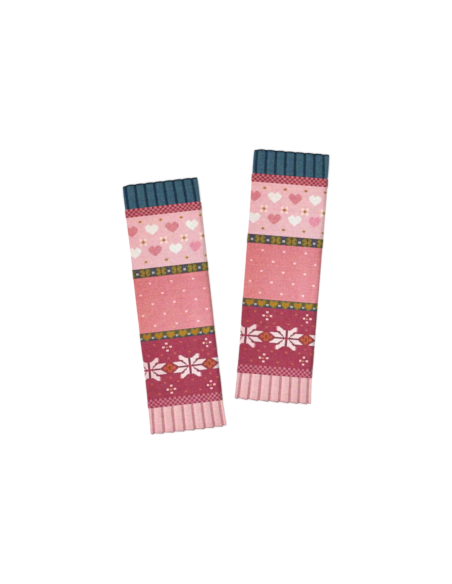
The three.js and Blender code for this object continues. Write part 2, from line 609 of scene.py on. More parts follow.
@dataclass
class KnitTube:
    """One knitted piece of a leg warmer: a flattened tube with a closed wall.

    Round the tube, stitches are counted from the front's centreline to the right, and the first
    and last meet in the middle of the back. Down the tube, places count from the top mouth.

    Attributes:
        name: The new object's name.
        place: Where the leg warmer lies.
        sections: The tube's outline, from the piece's top to its bottom.
        seed: Makes the stitches' tones differ from the other pieces'.
        stitches: Stitches round the tube.
        lip: Radius of the rounded edge at a mouth, in millimetres.
        seam_lip: The same at a seam with the next piece.
        inner_rings: Rings of vertices on the inside.
        back_hollow: Height of the back layer's hollows over the front's soft ridges.
        fine_reach: Stitches to each side of the centreline that have plump legs in the mesh.
        tone_spread: How much the stitches differ in tone.
        row_calm: How many times less whole rows differ in it.
        hue_spread: How much they differ in hue.
        dye_spread: How much patches of a few stitches differ in hue.
        dye_patch: Stitches from one such patch to the next.
        end_spread: How much of these the darkest and the palest yarns keep.
        mid_spread: How much more the others get: a quarter of this at mid tone.
        lip_angles: Places of vertices round a rounded edge, in degrees.
        stitch: Relief of a stitch.
    """

    name: str
    place: Place
    sections: tuple[Section, ...]
    seed: int
    stitches: int = 128
    lip: float = 1.2
    seam_lip: float = 0.4
    inner_rings: int = 6
    back_hollow: float = 0.4
    fine_reach: float = 33.0
    tone_spread: float = 0.018
    row_calm: float = 3.0
    hue_spread: float = 0.013
    dye_spread: float = 0.005
    dye_patch: int = 4
    end_spread: float = 0.45
    mid_spread: float = 3.0
    lip_angles: tuple[float, ...] = (22.5, 45.0, 67.5)
    stitch: Stitch = Stitch()

    @property
    def top(self) -> float:
        """Returns where the piece begins, down from the top mouth."""
        return self.sections[0].down

    @property
    def bottom(self) -> float:
        """Returns where the piece ends, down from the top mouth."""
        return self.sections[-1].down

    def lips(self) -> tuple[float, float]:
        """Returns the radius of the rounded edge at the piece's top and bottom."""
        return self.seam_lip, self.seam_lip

    def lip_tones(self) -> tuple[float, float]:
        """Returns the tone of the rounded edge at the piece's top and bottom."""
        return 1.0, 1.0

    def row_edges(self) -> np.ndarray:
        """Returns where each row's edge is, down from the top mouth."""
        raise NotImplementedError

    def colours(self) -> np.ndarray:
        """Returns each stitch's linear colour, by row and by stitch from the back's middle."""
        raise NotImplementedError

    def distance_round(self, stitch: np.ndarray, down: np.ndarray, girth: np.ndarray) -> np.ndarray:
        """Returns how far round the outer face a stitch is, from the front's centreline."""
        return stitch / self.stitches * girth

    def recess(self, stitch: np.ndarray, down: np.ndarray) -> np.ndarray:
        """Returns how far the fabric lies below the tube's outline there."""
        return np.zeros(np.broadcast(stitch, down).shape)

    def edge_shift(self, stitch: np.ndarray, down: np.ndarray) -> np.ndarray:
        """Returns how far an uneven mouth pulls the fabric down there."""
        return np.zeros(np.broadcast(stitch, down).shape)

    def lift(self, across: np.ndarray, down: np.ndarray) -> np.ndarray:
        """Returns how far the front layer lies above its place."""
        return np.zeros(np.broadcast(across, down).shape)

    def middles(self) -> np.ndarray:
        """Returns the place of each stitch's middle round the tube, from the back's middle on."""
        return np.arange(self.stitches) - self.stitches / 2 + 0.5

    def relief(self, stitch: np.ndarray) -> np.ndarray:
        """Returns how far the columns of vertices drop below the legs of the stitches."""
        middle = np.where(np.abs(stitch) > self.fine_reach, self.stitch.middle / 2, self.stitch.middle)
        return np.where(mid_stitch(stitch), middle, self.stitch.between)

    def rings(self) -> Rings:
        """Works out the rings of the closed wall, with a rounded lip at each end.

        Returns:
            The rings.
        """
        edges = self.row_edges()
        angles = np.radians(self.lip_angles)
        inner = np.linspace(edges[-1], edges[0], self.inner_rings)
        top_lip, bottom_lip = self.lips()
        top_curve = self.top + top_lip * (1 - np.sin(angles))
        bottom_curve = self.bottom - bottom_lip * (1 - np.sin(angles))
        right = np.array([math.pi / 2])
        outside = [angles[::-1], np.zeros(len(edges)), angles]
        inside = [math.pi - angles[::-1], np.full(len(inner), math.pi), math.pi - angles]
        turns = np.concatenate([right, *outside, right, *inside])
        down = np.concatenate([
            [self.top], top_curve[::-1], edges, bottom_curve,
            [self.bottom], bottom_curve[::-1], inner, top_curve])
        first = 1 + len(angles)
        last = first + len(edges) - 1
        lean = np.zeros(len(down))
        lean[first:last] = 1
        return Rings(down, (1 - np.cos(turns)) / 2, lean, first, last, last + 1 + len(angles))

    def points(
        self, stitch: np.ndarray, down: np.ndarray, share: np.ndarray, drop: np.ndarray
    ) -> np.ndarray:
        """Places points of the wall.

        Args:
            stitch: Where they are round the tube, in stitches.
            down: Where they are down it, in millimetres.
            share: 0 on the outer face, 1 on the inner one.
            drop: How far below the outer face, in millimetres.

        Returns:
            The points in the row frame, in metres, a row each.
        """
        stitch, down, share, drop = np.broadcast_arrays(stitch, down, share, drop)
        width = eased(down, [(section.down, section.width) for section in self.sections])
        radius = eased(down, [(section.down, section.thick) for section in self.sections]) / 2
        slot = eased(down, [(section.down, section.slot) for section in self.sections])
        reach = width / 2 - radius
        girth = 4 * reach + 2 * math.pi * radius
        round_it = self.distance_round(stitch, down, girth)
        round_it = (round_it + girth / 2) % girth - girth / 2
        side = np.where(round_it < 0, -1.0, 1.0)
        past = np.abs(round_it) - reach
        angle = np.clip(past / radius, 0, math.pi)
        spine = np.where(past < 0, reach + past, reach - np.clip(past - math.pi * radius, 0, None))
        out = (radius - self.recess(stitch, down) - drop) * (1 - share) + slot / 2 * share
        across = side * (spine + np.sin(angle) * out) + eased(down, ASIDE)
        front = np.clip((1 + np.cos(angle)) / 2, 0, 1) ** 2
        back = np.clip((1 - np.cos(angle)) / 2, 0, 1) ** 2
        hollow = self.back_hollow * self.lift(-across, self.top + self.bottom - down)
        up = radius + np.cos(angle) * out + front * self.lift(across, down) + back * hollow
        along = LENGTH / 2 - down - self.edge_shift(stitch, down)
        return self.place.world(across, along, up)

    def build(self, finish: bpy.types.Material) -> bpy.types.Object:
        """Builds the wall's mesh and dresses it.

        Args:
            finish: The knit's material.

        Returns:
            The finished object.
        """
        rings = self.rings()
        columns = np.arange(2 * self.stitches) / 2 - self.stitches / 2
        row_height = np.interp(rings.down, self.row_edges()[:-1], np.diff(self.row_edges()))
        lean = self.stitch.lean * np.outer(rings.lean * row_height, mid_stitch(columns))
        grid = self.points(columns[None, :], rings.down[:, None] + lean, rings.share[:, None],
                           self.relief(columns)[None, :])
        cells = WallCells(rings, columns, self.fine_reach)
        peaks = self.points(cells.peak_stitch, self.peak_down(cells), 0.0, 0.0)
        mesh = bpy.data.meshes.new(self.name)
        mesh.from_pydata(np.concatenate([grid, peaks]).tolist(), [], cells.faces())
        mesh.polygons.foreach_set("use_smooth", np.ones(len(mesh.polygons), bool))
        rows = np.interp(rings.down, self.row_edges(), np.arange(len(self.row_edges())))
        write_uv(mesh, "Knit", cells.knit_uv(rows))
        write_uv(mesh, "OFBake", cells.bake_uv())
        colour = mesh.color_attributes.new("yarn", "FLOAT_COLOR", "CORNER")
        colour.data.foreach_set("color", cells.corner_colours(self.toned(), rows, self.lip_tones()).ravel())
        mesh.materials.append(finish)
        mesh.update()
        made = bpy.data.objects.new(self.name, mesh)
        bpy.context.scene.collection.objects.link(made)
        return made

    def peak_down(self, cells: "WallCells") -> np.ndarray:
        """Returns where the crests of the stitches' legs are, down from the top mouth."""
        edges = self.row_edges()
        return (edges[:-1] + np.diff(edges) * (0.5 + self.stitch.lean / 2))[cells.peak_row]

    def toned(self) -> np.ndarray:
        """Gives the stitches' colours the small differences of spun and dyed yarn.

        Returns:
            Linear colours by row and stitch.
        """
        rng = np.random.default_rng(self.seed)
        seen = self.colours() ** (1 / GAMMA)
        tone = self.tone_spread * rng.standard_normal(seen.shape[:2] + (1,))
        rows = self.tone_spread / self.row_calm * rng.standard_normal((seen.shape[0], 1, 1))
        hue = self.hue_spread * rng.standard_normal(seen.shape)
        patches = self.dye_spread * patchy(rng, seen.shape, self.dye_patch)
        strength = self.end_spread + self.mid_spread * seen * (1 - seen)
        return np.clip(seen + (tone + rows + hue + patches) * strength, 0, 1) ** GAMMA


def mid_stitch(stitch: np.ndarray) -> np.ndarray:
    """Returns which columns of vertices run down the middle of a stitch, between its legs."""
    return np.isclose(stitch % 1, 0.5)


# Makes up for the spread that is lost where neighbouring patches blend
PATCH_GAIN = 1.5


def patchy(rng: np.random.Generator, shape: tuple[int, ...], step: int) -> np.ndarray:
    """Makes soft random patches.

    Args:
        rng: The source of random numbers.
        shape: Rows, stitches and channels wanted.
        step: Stitches from one patch to the next.

    Returns:
        Values of about 1 to each side of 0.
    """
    coarse = rng.standard_normal((shape[0] // step + 2, shape[1] // step + 2, shape[2]))
    for axis in (0, 1):
        at = np.arange(shape[axis]) / step
        low = at.astype(int)
        share = (at - low).reshape((-1, 1, 1) if axis == 0 else (1, -1, 1))
        coarse = np.take(coarse, low, axis) * (1 - share) + np.take(coarse, low + 1, axis) * share
    return coarse * PATCH_GAIN


def closed(values: np.ndarray) -> np.ndarray:
    """Returns the rings' values with the first ring's again at the end."""
    return np.append(values, values[0])


# Ring and column steps to the corners of a cell, in the order of its face
CORNER_STEPS = np.array([(0, 0), (1, 0), (1, 1), (0, 1)])


@dataclass
class WallCells:
    """The cells of a closed wall between its rings and columns, and the data of their corners.

    Cells of the front's stitch rows have a vertex on their crest and four triangles round it,
    which makes a plump yarn leg of each. The others are plain four-sided faces.

    Attributes:
        rings: The wall's rings.
        columns: Stitches from the front's centreline to each column of vertices.
        fine_reach: Stitches to each side that have crests.
        margin: Gap round each half of the bake map.
        outer_width: Share of the bake map that the outside takes.
        flat_share: How much of a lip's turn, at each end of it, still has the wall's own tone.
    """

    rings: Rings
    columns: np.ndarray
    fine_reach: float
    margin: float = 0.004
    outer_width: float = 0.66
    flat_share: float = 0.01

    def __post_init__(self) -> None:
        """Sorts the cells into plain and crested ones, and lists every corner of their faces."""
        rings = self.rings
        self.ring_count = len(rings.down)
        ring, column = np.indices((self.ring_count, len(self.columns)))
        # a leg's crest is halfway from one column of vertices to the next
        leg = self.columns[column] + 0.25
        fine = (ring >= rings.first) & (ring < rings.last) & (np.abs(leg) < self.fine_reach)
        self.plain = np.stack([ring[~fine], column[~fine]], axis=-1)
        self.crested = np.stack([ring[fine], column[fine]], axis=-1)
        self.peak_stitch = leg[fine]
        self.peak_row = self.crested[:, 0] - rings.first
        fan = np.stack([CORNER_STEPS, np.roll(CORNER_STEPS, -1, axis=0), np.full((4, 2), 0.5)], axis=1)
        plain_steps = np.tile(CORNER_STEPS, (len(self.plain), 1))
        fan_steps = np.tile(fan.reshape(-1, 2), (len(self.crested), 1))
        self.down_step, self.round_step = np.concatenate([plain_steps, fan_steps]).T
        self.ring, self.column = np.concatenate([
            np.repeat(self.plain, 4, axis=0), np.repeat(self.crested, 12, axis=0)]).T

    def cell_vertices(self, cells: np.ndarray) -> np.ndarray:
        """Returns the numbers of each cell's four vertices, from its ring and its column."""
        corners = (cells[:, None, :] + CORNER_STEPS) % (self.ring_count, len(self.columns))
        return corners[..., 0] * len(self.columns) + corners[..., 1]

    def faces(self) -> list[list[int]]:
        """Lists the faces: the plain cells, then four triangles a crested cell.

        Returns:
            Each face's vertices.
        """
        corners = self.cell_vertices(self.crested)
        peak = self.ring_count * len(self.columns) + np.arange(len(corners))
        fans = np.stack([corners, np.roll(corners, -1, axis=1), np.tile(peak[:, None], (1, 4))], axis=-1)
        return self.cell_vertices(self.plain).tolist() + fans.reshape(-1, 3).tolist()

    def knit_uv(self, rows: np.ndarray) -> np.ndarray:
        """Maps the corners in stitches and rows.

        Args:
            rows: The row of stitches at each ring.

        Returns:
            A pair for each corner.
        """
        stitch = self.columns[0] + (self.column + self.round_step) / 2
        start = closed(rows)[self.ring]
        return np.stack([stitch, start + (closed(rows)[self.ring + 1] - start) * self.down_step], axis=-1)

    def bake_uv(self) -> np.ndarray:
        """Maps the corners from 0 to 1, the outside on the left and the inside on the right.

        Returns:
            A pair for each corner.
        """
        length = np.abs(np.diff(closed(self.rings.down))) + 2 * np.abs(np.diff(closed(self.rings.share)))
        path = np.concatenate([[0], np.cumsum(length)])
        turn = self.rings.turn
        inside = self.ring >= turn
        start = np.where(inside, path[turn], 0)
        end = np.where(inside, path[-1], path[turn])
        here = path[self.ring] + (path[self.ring + 1] - path[self.ring]) * self.down_step
        tall = self.margin + (1 - 2 * self.margin) * (here - start) / (end - start)
        share = (self.column + self.round_step) / len(self.columns)
        left = np.where(inside, self.outer_width + self.margin, self.margin)
        wide = np.where(inside, 1 - self.outer_width, self.outer_width) - 2 * self.margin
        return np.stack([left + wide * share, tall], axis=-1)

    def corner_colours(
        self, colours: np.ndarray, rows: np.ndarray, lip_tones: tuple[float, float]
    ) -> np.ndarray:
        """Colours the corners, the same all over a stitch.

        Args:
            colours: Linear colours by row and stitch.
            rows: The row of stitches at each ring.
            lip_tones: Tone of painted shade on the top and the bottom lip, where the wall turns inwards.

        Returns:
            Red, green, blue and alpha for each corner.
        """
        row = (closed(rows)[self.ring] + closed(rows)[self.ring + 1]) / 2
        row = np.clip(row.astype(int), 0, len(colours) - 1)
        shares = closed(self.rings.share)
        inward = (shares[self.ring] + shares[self.ring + 1]) / 2
        turning = (inward > self.flat_share) & (inward < 1 - self.flat_share)
        halfway = (self.rings.down.min() + self.rings.down.max()) / 2
        # painted shade on the lips, where the wall turns away from the light
        lip = np.where(self.rings.down < halfway, *lip_tones)[self.ring]
        found = colours[row, self.column // 2] * np.where(turning, lip, 1.0)[:, None]
        return np.concatenate([found, np.ones((len(found), 1))], axis=-1)


def write_uv(mesh: bpy.types.Mesh, name: str, corners: np.ndarray) -> None:
    """Adds a UV map with a pair for each corner of each face."""
    layer = mesh.uv_layers.new(name=name)
    layer.data.foreach_set("uv", corners.ravel())


# Length of a leg warmer, and the depth of its cuffs, in millimetres
LENGTH = 400.0
TOP_CUFF_DEPTH = 38.3
BOTTOM_CUFF_DEPTH = 41.8

# Thickness of the leg's two layers, and height of the slot between any two away from a mouth
LEG_THICK = 5.0
SLOT = 0.6

TOP_CUFF: tuple[Section, ...] = (
    Section(0.0, 121.0, 6.0, 1.2),
    Section(18.0, 121.6, 6.4, SLOT),
    Section(34.0, 121.4, 6.4, SLOT),
    Section(TOP_CUFF_DEPTH, 121.0, 5.4, SLOT),
)
LEG: tuple[Section, ...] = tuple(Section(down, width, LEG_THICK, SLOT) for down, width in (
    (TOP_CUFF_DEPTH, 121.4), (42.0, 123.0), (50.0, 122.9), (55.0, 121.6), (90.0, 121.0), (131.0, 120.9),
    (137.5, 121.8), (147.0, 121.8), (152.0, 120.8), (195.0, 120.7), (232.0, 120.3), (245.0, 120.6),
    (300.0, 120.0), (343.0, 120.2), (356.0, 120.8), (LENGTH - BOTTOM_CUFF_DEPTH, 120.0),
))
BOTTOM_CUFF: tuple[Section, ...] = (
    Section(LENGTH - BOTTOM_CUFF_DEPTH, 119.6, 5.4, SLOT),
    Section(364.0, 120.0, 6.4, SLOT),
    Section(382.0, 121.0, 6.4, SLOT),
    Section(LENGTH, 122.6, 6.0, 1.2),
)

RIPPLES: tuple[Ripple, ...] = (
    Ripple(-18.0, 96.0, 12.0, 60.0, 16.0, 0.5),
    Ripple(24.0, 172.0, -8.0, 55.0, 20.0, 0.6),
    Ripple(-30.0, 214.0, 20.0, 50.0, 15.0, 0.45),
    Ripple(14.0, 262.0, 5.0, 65.0, 18.0, 0.4),
    Ripple(-8.0, 322.0, -14.0, 60.0, 16.0, 0.5),
)

# How far the tube lies to the right of its centreline, by place down it, in millimetres
ASIDE = (
    (0.0, -0.1), (27.0, 0.0), (59.0, 0.4), (123.0, 0.6), (155.0, 0.25), (219.0, 0.3),
    (251.0, 0.15), (299.0, 0.6), (331.0, 0.6), (361.0, 0.1), (400.0, 0.5),
)
# How far the stitches are drawn in from the right fold, by place round the tube, in millimetres
DRAWN_IN = ((32.0, 0.0), (52.0, 2.0), (66.0, 2.0), (110.0, 0.0))
# How far the knit lies turned to the right round the leg, by place down it, in millimetres
TURNED = (
    (38.0, 0.0), (66.0, -0.4), (75.0, 0.4), (94.0, 0.8), (111.0, -0.3), (126.0, -0.5), (160.0, 0.0),
    (180.0, 0.9), (230.0, 0.9), (246.0, -0.8), (266.0, 0.4), (298.0, 0.6), (320.0, 0.0),
    (333.0, -0.7), (358.0, 0.0),
)


@dataclass
class JacquardLeg(KnitTube):
    """The patterned leg between the cuffs.

    Attributes:
        left_shade_start: Stitch where the painted shade begins, deepening towards the left fold.
        left_shade_reach: Stitches over which it gets to its full depth.
        sheen_stitch: Stitch where the painted sheen is palest, before the right fold.
        sheen_width: Its half width, in stitches.
        fold_stitch: Stitch of the right fold's shaded edge.
        fold_width: Its half width, in stitches.
        fold_depth: How much darker red, green and blue are there.
    """

    inner_rings: int = 8
    left_shade_start: float = -4.0
    left_shade_reach: float = 24.0
    sheen_stitch: float = 19.0
    sheen_width: float = 7.0
    fold_stitch: float = 31.2
    fold_width: float = 1.5
    fold_depth: Channels = (0.4, 0.3, 0.36)

    def row_edges(self) -> np.ndarray:
        """Works out where each row's edge is: each band has rows of its own height.

        Returns:
            Distances from the top mouth, in millimetres.
        """
        edges = [np.array([0.0])]
        for band in BANDS:
            edges.append(edges[-1][-1] + band.height * np.arange(1, band.rows + 1) / band.rows)
        shares = np.concatenate(edges) / edges[-1][-1]
        top = self.top + self.seam_lip
        return top + shares * (self.bottom - self.seam_lip - top)

    def distance_round(self, stitch: np.ndarray, down: np.ndarray, girth: np.ndarray) -> np.ndarray:
        """Returns how far round a stitch is: the knit lies a little turned here and there."""
        evenly = super().distance_round(stitch, down, girth)
        return evenly + eased(down, TURNED) - eased(evenly, DRAWN_IN)

    def lift(self, across: np.ndarray, down: np.ndarray) -> np.ndarray:
        """Adds up the soft ripples of the front layer.

        Args:
            across: To the right of the centreline, in millimetres.
            down: Distance from the top mouth.

        Returns:
            The layer's height above its place.
        """
        total = np.zeros(np.broadcast(across, down).shape)
        for ripple in RIPPLES:
            angle = math.radians(ripple.turn)
            x = across - ripple.across
            y = down - ripple.down
            along = (x * math.cos(angle) + y * math.sin(angle)) / ripple.length
            over = (y * math.cos(angle) - x * math.sin(angle)) / ripple.width
            total += ripple.lift * np.exp(-along ** 2 - over ** 2)
        return total

    def colours(self) -> np.ndarray:
        """Returns each stitch's linear colour, with the bands' charts knitted in."""
        return np.concatenate([self.band_colours(band) for band in BANDS])

    def band_colours(self, band: Band) -> np.ndarray:
        """Knits one band, with painted shade deepening towards the left fold, a painted sheen before the
        right fold, and painted shade where the right one turns down.

        Args:
            band: Its ground, motifs and lattice.

        Returns:
            Linear colours by row and stitch.
        """
        letters = np.full((band.rows, self.stitches), band.ground.letter)
        if band.lattice is not None:
            row, stitch = np.indices(letters.shape)
            squares = row // LATTICE_SQUARE + (stitch - band.lattice_shift) // LATTICE_SQUARE
            letters[squares % 2 == 0] = band.lattice.letter
        for motif in band.motifs:
            self.knit_in(letters, motif)
        palette = {yarn.letter: yarn.colour for yarn in Yarn}
        knitted = np.array([[palette[letter] for letter in line] for line in letters])
        stitch = self.middles()
        # painted shade: the stitches darken towards the left fold
        deeper = np.clip((self.left_shade_start - stitch) / self.left_shade_reach, 0, 1)[None, :, None]
        # painted highlight: a pale sheen on the stitches before the right fold
        painted_sheen = np.exp(-((stitch - self.sheen_stitch) / self.sheen_width) ** 2)[None, :, None]
        # painted shade on the right fold's edge, where it turns down away from the light
        edge = np.exp(-((stitch - self.fold_stitch) / self.fold_width) ** 2)[None, :, None]
        lower = (np.arange(band.rows) / (band.rows - 1) - 0.5)[:, None, None]
        knitted *= 1 - deeper * np.array(band.painted_left_shade) + painted_sheen * np.array(band.painted_sheen)
        knitted *= 1 - edge * band.fold * np.array(self.fold_depth)
        return knitted * (1 + lower * np.array(band.paler))

    def knit_in(self, letters: np.ndarray, motif: Motif) -> None:
        """Puts a motif's copies into a band, from the centreline to the middle of the back.

        Args:
            letters: The band's yarn letters, changed in place.
            motif: The motif.
        """
        rows = len(motif.chart)
        wide = len(motif.chart[0])
        start_row = round(motif.row - rows / 2)
        copies = math.ceil(self.stitches / motif.repeat)
        for copy in range(-copies, copies + 1):
            left = round(motif.middle + copy * motif.repeat - wide / 2 + self.stitches / 2)
            for row, line in enumerate(motif.chart):
                for stitch, letter in enumerate(line):
                    inside = 0 <= left + stitch < self.stitches and 0 <= start_row + row < len(letters)
                    if inside and letter != ".":
                        letters[start_row + row, left + stitch] = letter


@dataclass(frozen=True)
class RibPattern:
    """A cuff's wide rib.

    Attributes:
        yarn: Its yarn.
        painted_groove_shade: The colour painted deep in a groove as its shade.
        grooves: The grooves seen on the front, from the centreline, in millimetres.
        mouth_at_top: Whether the cuff's mouth is at its top.
        bulge: How far each rib's crown stands out of the mouth's edge.
        skew: How far each rib's right end stands out past its middle.
        corners: How far the mouth's edge draws in at the left and the right fold.
        corners_from: Where that starts, as a share of the half width.
        lip_tone: Tone of the mouth's edge, which turns away from the light.
        rim_shade_tone: Painted shade on the row of stitches next to it.
        drift: How far the grooves move to the right from the cuff's top to its bottom.
        spread: How far they move apart there, at each fold.
        painted_rib_light: Painted light on a rib's six stitches from left to right: a highlight on its left
            shoulder, shading off to its right.
        deeper: How much deeper red, green and blue get down to the cuff's lowest row.
    """

    yarn: Yarn
    painted_groove_shade: Yarn
    grooves: tuple[float, ...]
    mouth_at_top: bool
    bulge: float
    skew: float
    corners: tuple[float, float]
    corners_from: float
    lip_tone: float
    rim_shade_tone: float
    drift: float
    spread: float
    painted_rib_light: tuple[float, ...]
    deeper: Channels = (0.0, 0.0, 0.0)


TOP_RIB = RibPattern(
    yarn=Yarn.TEAL,
    painted_groove_shade=Yarn.DEEP_TEAL,
    grooves=(-55.8, -40.4, -24.9, -9.4, 6.2, 21.7, 37.2, 52.0),
    mouth_at_top=True,
    bulge=0.9, skew=0.0,
    corners=(2.8, 0.5), corners_from=0.76,
    lip_tone=0.35, rim_shade_tone=0.6,
    drift=1.6, spread=0.9,
    painted_rib_light=(1.14, 1.06, 1.0, 1.0, 0.98, 0.94),
)
BOTTOM_RIB = RibPattern(
    yarn=Yarn.SHELL,
    painted_groove_shade=Yarn.DUSK,
    grooves=(-54.1, -38.5, -22.1, -5.8, 10.0, 25.7, 40.2, 54.1),
    mouth_at_top=False,
    bulge=0.0, skew=1.1,
    corners=(1.0, 1.0), corners_from=0.1,
    lip_tone=0.5, rim_shade_tone=0.92,
    drift=-0.7, spread=0.5,
    painted_rib_light=(1.15, 1.07, 0.99, 0.97, 0.97, 0.96),
    deeper=(0.05, 0.14, 0.12),
)


@dataclass
class RibCuff(KnitTube):
    """A cuff in wide rib: six plain stitches to a rib, and two sunk ones in the groove between.

    Each rib rises gently from the groove on its left and drops steeply into the one on its right.

    Attributes:
        pattern: The cuff's ribs.
        ribs: Ribs round the cuff.
        gentle_side: Reach of a groove's slope on its right, in millimetres.
        steep_side: The same on its left.
        groove_left: Reach of a groove's two stitches to the left of its middle.
        groove_right: The same to the right.
        groove_depth: Depth of a groove.
        crown_drop: How much lower a rib is at its right than at its left.
        groove_floor: How far past a groove's middle its bottom reaches, as a share of a slope.
        end_reach: How far from both ends of the cuff the grooves are shallower.
        end_depth: Their share of the depth there.
        bulge_power: Below 1, it makes the bulges of the mouth's edge fuller.
        edge_fade: How far from the mouth its unevenness reaches.
        back_short: How much shorter the back layer is.
        back_fade: How soon past a fold it is so, as a share of the half width.
        first_middle: Stitches from a groove's middle to the middle of the rib's first stitch.
        row_height: Height of a row of stitches.
    """

    pattern: RibPattern = TOP_RIB
    ribs: int = 16
    gentle_side: float = 3.8
    steep_side: float = 2.2
    groove_left: float = 1.7
    groove_right: float = 2.3
    groove_depth: float = 2.1
    crown_drop: float = 0.35
    groove_floor: float = 0.1
    end_reach: float = 4.0
    end_depth: float = 0.6
    bulge_power: float = 0.6
    edge_fade: float = 5.0
    back_short: float = 1.8
    back_fade: float = 0.08
    first_middle: float = 1.5
    row_height: float = 1.43
    girth: float = field(init=False)
    groove_marks: np.ndarray = field(init=False)

    def __post_init__(self) -> None:
        """Works out the cuff's girth and its grooves."""
        self.girth = self.sections[1].girth
        self.groove_marks = self.grooves_round()

    def by_end(self, mouth: float, seam: float) -> tuple[float, float]:
        """Returns the mouth's value and the seam's, the one at the piece's top first."""
        return (mouth, seam) if self.pattern.mouth_at_top else (seam, mouth)

    def lips(self) -> tuple[float, float]:
        """Returns the radius of the rounded edge at the piece's top and bottom."""
        return self.by_end(self.lip, self.seam_lip)

    def lip_tones(self) -> tuple[float, float]:
        """Returns the tone of the rounded edge at the piece's top and bottom."""
        return self.by_end(self.pattern.lip_tone, 1.0)

    @property
    def rib_stitches(self) -> int:
        """Returns the stitches from one groove to the next."""
        return self.stitches // self.ribs

    def grooves_round(self) -> np.ndarray:
        """Works out where the grooves are: the front's as seen, then even ones behind.

        Returns:
            Their distances round the tube, for three turns of it.
        """
        front = np.array(self.pattern.grooves)
        hidden = self.ribs - len(front)
        pitch = (front[0] + self.girth - front[-1]) / (hidden + 1)
        behind = front[-1] + pitch * np.arange(1, hidden + 1)
        once = np.concatenate([front, behind])
        return np.concatenate([once - self.girth, once, once + self.girth])

    def first_groove(self) -> float:
        """Returns the stitch of the front's leftmost groove."""
        return -self.rib_stitches * (len(self.pattern.grooves) - 1) / 2

    def nominal_distance(self, stitch: np.ndarray) -> np.ndarray:
        """Works out how far round the cuff's wide part a stitch is.

        Args:
            stitch: Where it is, in stitches.

        Returns:
            Its distance from the front's centreline, in millimetres.
        """
        numbers = np.arange(len(self.groove_marks)) - self.ribs
        centres = self.first_groove() + self.rib_stitches * numbers
        marks = np.stack([centres - 1, centres, centres + 1], axis=-1).ravel()
        middle = self.groove_marks
        places = np.stack([middle - self.groove_left, middle, middle + self.groove_right], axis=-1)
        return np.interp(stitch, marks, places.ravel())

    def distance_round(self, stitch: np.ndarray, down: np.ndarray, girth: np.ndarray) -> np.ndarray:
        """Works out how far round a stitch is: the ribs lean and part a little down the cuff.

        Args:
            stitch: Where it is round the tube, in stitches.
            down: Where it is down it, in millimetres.
            girth: Distance round the outer face there.

        Returns:
            Its distance from the front's centreline.
        """
        nominal = self.nominal_distance(stitch)
        lower = (down - self.top) / (self.bottom - self.top) - 0.5
        parted = self.pattern.spread * np.sin(2 * math.pi * nominal / self.girth)
        return (nominal + lower * (self.pattern.drift + parted)) * girth / self.girth

    def in_groove(self, stitch: np.ndarray) -> np.ndarray:
        """Works out how deep in a groove a stitch is.

        Args:
            stitch: Where it is, in stitches.

        Returns:
            1 at the bottom of a groove and 0 on a rib.
        """
        offsets = self.nominal_distance(stitch)[..., None] - self.groove_marks
        nearest = np.argmin(np.abs(offsets), axis=-1)[..., None]
        offset = np.take_along_axis(offsets, nearest, axis=-1)[..., 0]
        side = np.where(offset < 0, self.steep_side, self.gentle_side)
        return smooth(np.clip(1 + self.groove_floor - np.abs(offset) / side, 0, 1))

    def across_rib(self, stitch: np.ndarray) -> np.ndarray:
        """Returns where a stitch is on its rib, from 0 at its left groove to 1 at its right one."""
        return ((stitch - self.first_groove()) / self.rib_stitches) % 1

    def recess(self, stitch: np.ndarray, down: np.ndarray) -> np.ndarray:
        """Sinks the grooves, less near both ends, and slopes the ribs.

        Args:
            stitch: Where a point is round the tube, in stitches.
            down: Where it is down it, in millimetres.

        Returns:
            How far it lies below the tube's outline.
        """
        ends = np.minimum(down - self.top, self.bottom - down)
        depth = self.groove_depth * np.interp(ends, [0.0, self.end_reach], [self.end_depth, 1.0])
        slope = self.crown_drop * self.across_rib(stitch) ** 2
        return depth * self.in_groove(stitch) + slope * (1 - self.in_groove(stitch))

    def edge_shift(self, stitch: np.ndarray, down: np.ndarray) -> np.ndarray:
        """Scallops the mouth, draws in its corners and shortens its back.

        Args:
            stitch: Where a point is round the tube, in stitches.
            down: Where it is down it, in millimetres.

        Returns:
            How far the fabric is pulled down there.
        """
        pattern = self.pattern
        rib = self.across_rib(stitch)
        out = pattern.bulge * np.sin(math.pi * rib) ** self.bulge_power + pattern.skew * (2 * rib - 1)
        place = self.nominal_distance(stitch) / (self.girth / 4)
        from_start = (np.abs(place) - pattern.corners_from) / (1 - pattern.corners_from)
        corner = np.where(place < 0, pattern.corners[0], pattern.corners[1])
        drawn_in = corner * np.clip(from_start, 0, 1) ** 2
        behind = self.back_short * np.clip((np.abs(place) - 1) / self.back_fade, 0, 1)
        from_mouth = down - self.top if pattern.mouth_at_top else self.bottom - down
        outward = -1 if pattern.mouth_at_top else 1
        return outward * (out - drawn_in - behind) * np.exp(-from_mouth / self.edge_fade)

    def relief(self, stitch: np.ndarray) -> np.ndarray:
        """Returns how far the columns drop: none in a groove, whose stitches are sunk."""
        return super().relief(stitch) * (1 - self.in_groove(stitch))

    def row_edges(self) -> np.ndarray:
        """Returns where each row's edge is, down from the top mouth."""
        rows = round((self.bottom - self.top) / self.row_height)
        return np.linspace(self.top + self.lips()[0], self.bottom - self.lips()[1], rows + 1)

    def colours(self) -> np.ndarray:
        """Colours the stitches, with a painted highlight on a rib's left and painted shade deep in a
        groove.

        Returns:
            Linear colours by row and stitch.
        """
        stitch = self.middles()
        depth = self.in_groove(stitch)[None, :, None]
        rib = self.pattern.yarn.colour
        # painted shade: the colour that stands for the shadow deep in a groove
        groove = self.pattern.painted_groove_shade.colour
        place = self.across_rib(stitch) * self.rib_stitches - self.first_middle
        # painted light: a highlight on each rib's left shoulder, shading off to its right
        rib_light = np.interp(place, np.arange(len(self.pattern.painted_rib_light)), self.pattern.painted_rib_light)
        rows = len(self.row_edges()) - 1
